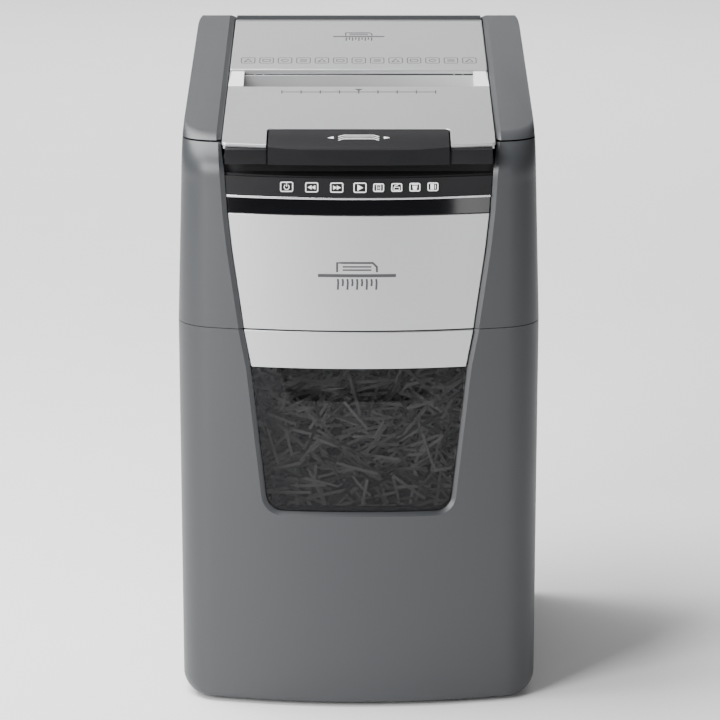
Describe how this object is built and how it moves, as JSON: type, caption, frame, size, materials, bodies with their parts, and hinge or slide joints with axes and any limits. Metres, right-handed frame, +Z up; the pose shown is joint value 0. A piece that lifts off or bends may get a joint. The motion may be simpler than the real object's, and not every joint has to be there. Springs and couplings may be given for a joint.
{
  "type": "paper shredder",
  "caption": "Floor-standing paper shredder: hinged lid with manual slot over a stack tray, geared cutter pair, pull-out bin with smoked window.",
  "frame": {"origin": "on the floor under the middle of the machine", "axes": "+Z up, the front with the bin window faces -Y, +X to the right of someone facing the front"},
  "size_m": [0.342, 0.392, 0.6042],
  "materials": {
    "charcoal": "fine satin texture",
    "silver": "satin silver paint",
    "gloss_black": "polished",
    "black_plastic": "satin",
    "inner_plastic": "satin",
    "chrome": "bright",
    "lens": "diffuse white",
    "circuit_board": "solder mask",
    "motor_case": "dark",
    "steel": "zinc plated",
    "hardened_steel": "oiled",
    "gear_plastic": "moulded",
    "rubber": "matt",
    "smoked_window": "polished, smoked",
    "cut_paper": "loose strips"
  },
  "bodies": {
    "cabinet": {"head_shell": "charcoal", "head_front_panel": "silver", "control_bezel": "gloss_black", "chrome_trim": "chrome", "indicator_lens_strip": "lens", "feed_tray": "inner_plastic", "head_base": "inner_plastic", "control_board": "circuit_board", "power_board": "circuit_board", "motor": "motor_case", "side_plate_left": "steel", "side_plate_right": "steel", "tie_rod_front": "steel", "tie_rod_rear": "steel", "stripper_comb_front": "steel", "stripper_comb_rear": "steel", "drive_belt_front": "rubber", "drive_belt_rear": "rubber", "lid_switch": "black_plastic", "cabinet_side_left": "charcoal", "cabinet_side_right": "charcoal", "cabinet_back": "charcoal", "base_plate": "inner_plastic", "bin_runner_left": "steel", "bin_runner_right": "steel", "foot_front_left": "rubber", "foot_front_right": "rubber", "foot_rear_left": "rubber", "foot_rear_right": "rubber", "mains_inlet": "black_plastic"},
    "lid": {"lid_frame": "charcoal", "lid_front_panel": "silver", "lid_rear_panel": "silver", "feed_slot_funnel": "silver", "lid_liner": "black_plastic", "lid_hinge_rod": "steel", "pressure_spring_left": "steel", "pressure_spring_right": "steel"},
    "release_tab": {"lid_release_tab": "black_plastic"},
    "pressure_plate": {"pressure_plate": "inner_plastic"},
    "power_button": {"power_button": "gloss_black"},
    "reverse_button": {"reverse_button": "gloss_black"},
    "forward_button": {"forward_button": "gloss_black"},
    "start_button": {"start_button": "gloss_black"},
    "cutter_front": {"cutter_front": "hardened_steel", "cutter_gear_front": "gear_plastic"},
    "cutter_rear": {"cutter_rear": "hardened_steel", "cutter_gear_rear": "gear_plastic"},
    "idler": {"idler_gear": "gear_plastic"},
    "pinion": {"motor_pinion": "steel"},
    "feed_front": {"feed_shaft_front": "steel", "feed_tyre_front": "rubber"},
    "feed_rear": {"feed_shaft_rear": "steel", "feed_tyre_rear": "rubber"},
    "rocker": {"mains_rocker": "black_plastic"},
    "bin": {"bin_front": "charcoal", "bin_window": "smoked_window", "bin_panel": "silver", "bin_tub": "inner_plastic", "paper_shreds": "cut_paper"}
  },
  "joints": [
    {"name": "lid_hinge", "type": "hinge", "parent": "cabinet", "child": "lid", "pos_m": [0, 0.1865, 0.5525], "axis": [-1, 0, 0], "range_deg": [0, 70]},
    {"name": "release_tab_hinge", "type": "hinge", "parent": "lid", "child": "release_tab", "pos_m": [0, -0.14, 0.548], "axis": [-1, 0, 0], "range_deg": [0, 8], "stiffness_Nm_per_rad": 0.5, "springref_deg": -8.59},
    {"name": "pressure_plate_slide", "type": "slide", "parent": "lid", "child": "pressure_plate", "axis": [0, 0, 1], "range_m": [0, 0.034], "stiffness_N_per_m": 60, "springref_m": -0.02, "deforming": ["pressure_spring_left", "pressure_spring_right"]},
    {"name": "power_button_press", "type": "slide", "parent": "cabinet", "child": "power_button", "axis": [0, 1, 0], "range_m": [0, 0.0012], "stiffness_N_per_m": 400, "springref_m": -0.001},
    {"name": "reverse_button_press", "type": "slide", "parent": "cabinet", "child": "reverse_button", "axis": [0, 1, 0], "range_m": [0, 0.0012], "stiffness_N_per_m": 400, "springref_m": -0.001},
    {"name": "forward_button_press", "type": "slide", "parent": "cabinet", "child": "forward_button", "axis": [0, 1, 0], "range_m": [0, 0.0012], "stiffness_N_per_m": 400, "springref_m": -0.001},
    {"name": "start_button_press", "type": "slide", "parent": "cabinet", "child": "start_button", "axis": [0, 1, 0], "range_m": [0, 0.0012], "stiffness_N_per_m": 400, "springref_m": -0.001},
    {"name": "cutter_front_spin", "type": "hinge", "parent": "cabinet", "child": "cutter_front", "pos_m": [0, -0.0155, 0.425], "axis": [-1, 0, 0], "continuous": true},
    {"name": "cutter_rear_spin", "type": "hinge", "parent": "cabinet", "child": "cutter_rear", "pos_m": [0, 0.0295, 0.425], "axis": [-1, 0, 0], "continuous": true},
    {"name": "idler_spin", "type": "hinge", "parent": "cabinet", "child": "idler", "pos_m": [0, 0.07825, 0.425], "axis": [-1, 0, 0], "continuous": true},
    {"name": "pinion_spin", "type": "hinge", "parent": "cabinet", "child": "pinion", "pos_m": [0, 0.112, 0.425], "axis": [-1, 0, 0], "continuous": true},
    {"name": "feed_front_spin", "type": "hinge", "parent": "cabinet", "child": "feed_front", "pos_m": [0, -0.033, 0.487], "axis": [-1, 0, 0], "continuous": true},
    {"name": "feed_rear_spin", "type": "hinge", "parent": "cabinet", "child": "feed_rear", "pos_m": [0, 0.047, 0.487], "axis": [-1, 0, 0], "continuous": true},
    {"name": "mains_rocker_tilt", "type": "hinge", "parent": "cabinet", "child": "rocker", "pos_m": [0.105, 0.186, 0.11], "axis": [1, 0, 0], "range_deg": [-8, 8]},
    {"name": "bin_slide", "type": "slide", "parent": "cabinet", "child": "bin", "axis": [0, -1, 0], "range_m": [0, 0.3]}
  ],
  "couplings": [
    {"joint": "cutter_rear_spin", "follows": "cutter_front_spin", "ratio": -1},
    {"joint": "idler_spin", "follows": "cutter_front_spin", "ratio": 0.85714},
    {"joint": "pinion_spin", "follows": "cutter_front_spin", "ratio": -3},
    {"joint": "feed_front_spin", "follows": "cutter_front_spin", "ratio": 1},
    {"joint": "feed_rear_spin", "follows": "cutter_front_spin", "ratio": -1}
  ]
}
